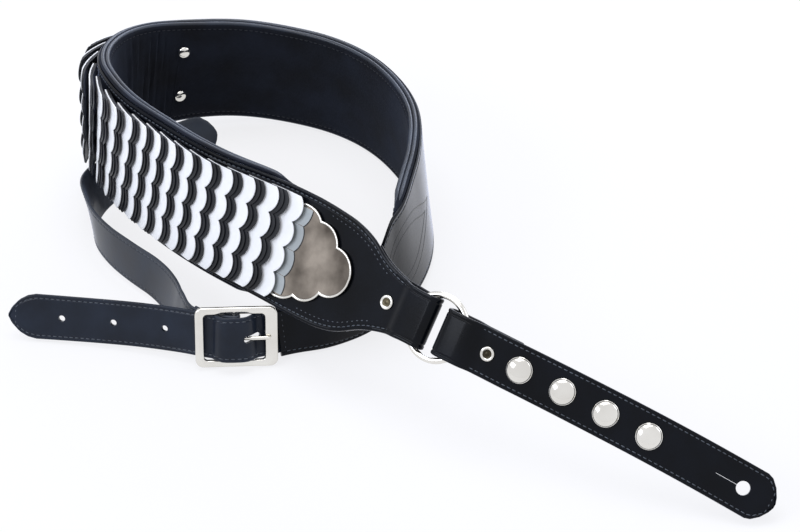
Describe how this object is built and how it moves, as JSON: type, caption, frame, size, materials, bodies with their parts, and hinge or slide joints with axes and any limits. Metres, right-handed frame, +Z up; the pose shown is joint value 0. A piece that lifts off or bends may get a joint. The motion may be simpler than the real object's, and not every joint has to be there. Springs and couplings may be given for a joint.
{
  "type": "instrument shoulder strap",
  "caption": "Padded leather shoulder strap with white scale rows, engraved metal plates, a ring-hung tail and a centre-bar buckle on a holed billet.",
  "frame": {"origin": "middle of the underside of the bounding box, on the surface the strap lies on", "axes": "+X to the right of the picture along the tail, +Y away from the camera, +Z up"},
  "size_m": [0.4704, 0.424, 0.1076],
  "materials": {
    "leather": "smooth semi-gloss black",
    "white": "smooth white coated",
    "nickel": "polished nickel",
    "plate": "polished, engraved",
    "lining": "brushed suede",
    "foam": "matt foam"
  },
  "bodies": {
    "strap": {"face_leather": "leather", "foam_padding": "foam", "padded_lining": "lining", "front_plate": "plate", "rear_plate": "plate", "plate_screw_front_upper": "nickel", "plate_screw_front_lower": "nickel", "plate_screw_rear_upper": "nickel", "plate_screw_rear_lower": "nickel", "scale_underlay_1": "leather", "scale_row_1": "white", "scale_underlay_2": "leather", "scale_row_2": "white", "scale_underlay_3": "leather", "scale_row_3": "white", "scale_underlay_4": "leather", "scale_row_4": "white", "scale_underlay_5": "leather", "scale_row_5": "white", "scale_underlay_6": "leather", "scale_row_6": "white", "scale_underlay_7": "leather", "scale_row_7": "white", "scale_underlay_8": "leather", "scale_row_8": "white", "scale_underlay_9": "leather", "scale_row_9": "white", "scale_underlay_10": "leather", "scale_row_10": "white", "scale_underlay_11": "leather", "scale_row_11": "white", "scale_underlay_12": "leather", "scale_row_12": "white", "scale_underlay_13": "leather", "scale_row_13": "white", "scale_underlay_14": "leather", "scale_row_14": "white", "scale_underlay_15": "leather", "scale_row_15": "white", "scale_underlay_16": "leather", "scale_row_16": "white", "body_rivet": "nickel", "billet": "leather", "far_rivet": "nickel", "buckle_frame": "nickel", "buckle_strap": "leather"},
    "ring": {"near_ring": "nickel"},
    "tail": {"tail_leather": "leather", "tail_rivet": "nickel", "tail_stud_1": "nickel", "tail_stud_2": "nickel", "tail_stud_3": "nickel", "tail_stud_4": "nickel"},
    "prong": {"buckle_prong": "nickel"}
  },
  "joints": [
    {"name": "ring_swing", "type": "hinge", "parent": "strap", "child": "ring", "pos_m": [0.0274, -0.10462, 0.06774], "axis": [0.3932, 0.4547, 0.7992], "range_deg": [-11, 3]},
    {"name": "tail_swing", "type": "hinge", "parent": "ring", "child": "tail", "pos_m": [0.04668, -0.11954, 0.06674], "axis": [0.3932, 0.4547, 0.7992], "range_deg": [-11, 3]},
    {"name": "prong_lift", "type": "hinge", "parent": "strap", "child": "prong", "pos_m": [-0.08909, -0.064, 0.02022], "axis": [-0.0033, -0.3082, -0.9513], "range_deg": [0, 3]}
  ]
}
